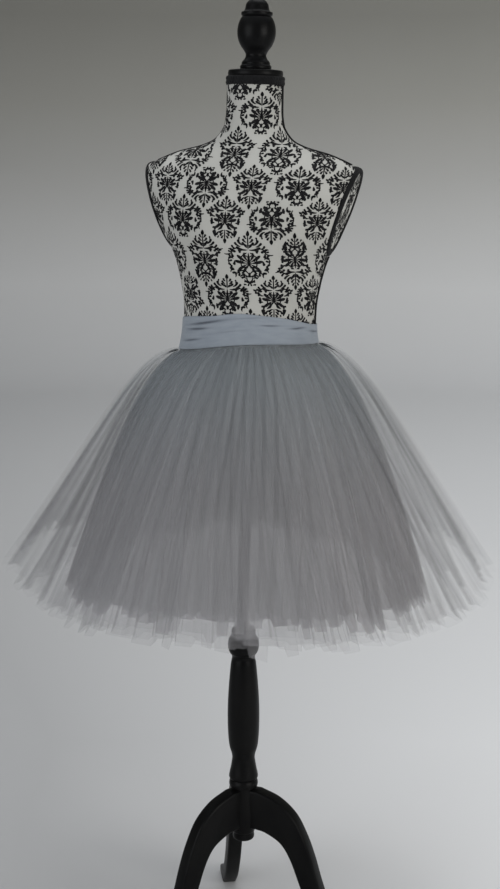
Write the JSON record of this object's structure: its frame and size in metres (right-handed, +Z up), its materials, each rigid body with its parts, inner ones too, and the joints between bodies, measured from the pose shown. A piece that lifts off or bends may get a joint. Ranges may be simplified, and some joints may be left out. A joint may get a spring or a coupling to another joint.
{
  "type": "tulle skirt on a dress form",
  "caption": "Full gathered tulle skirt with a jersey waistband, worn by a patterned limbless dress form on a turned stand with curved legs.",
  "frame": {"origin": "on the floor, under the middle of the whole outline; the pole axis is 11 mm towards -X from it", "axes": "+Z up, the front of the skirt faces -Y, +X to the right as seen from the front"},
  "size_m": [0.8176, 0.7957, 1.5997],
  "materials": {
    "tulle": "soft grey nylon net, sheer in one layer",
    "jersey": "pale blue-grey stretch jersey, matt",
    "cover": "cream cotton cover with a black damask repeat",
    "trim": "black braid and tape",
    "paint": "turned and sawn wood with satin black paint"
  },
  "bodies": {
    "root": {"tulle_outer": "tulle", "tulle_middle": "tulle", "tulle_inner": "tulle", "waistband": "jersey", "dress_form": "cover", "armhole_tape_left": "trim", "armhole_tape_right": "trim", "shoulder_tape_left": "trim", "shoulder_tape_right": "trim", "side_tape_left": "trim", "side_tape_right": "trim", "neck_trim": "trim", "neck_plate": "paint", "finial": "paint", "upper_rod": "paint", "column": "paint", "leg_back": "paint", "leg_front_left": "paint", "leg_front_right": "paint"}
  },
  "joints": []
}
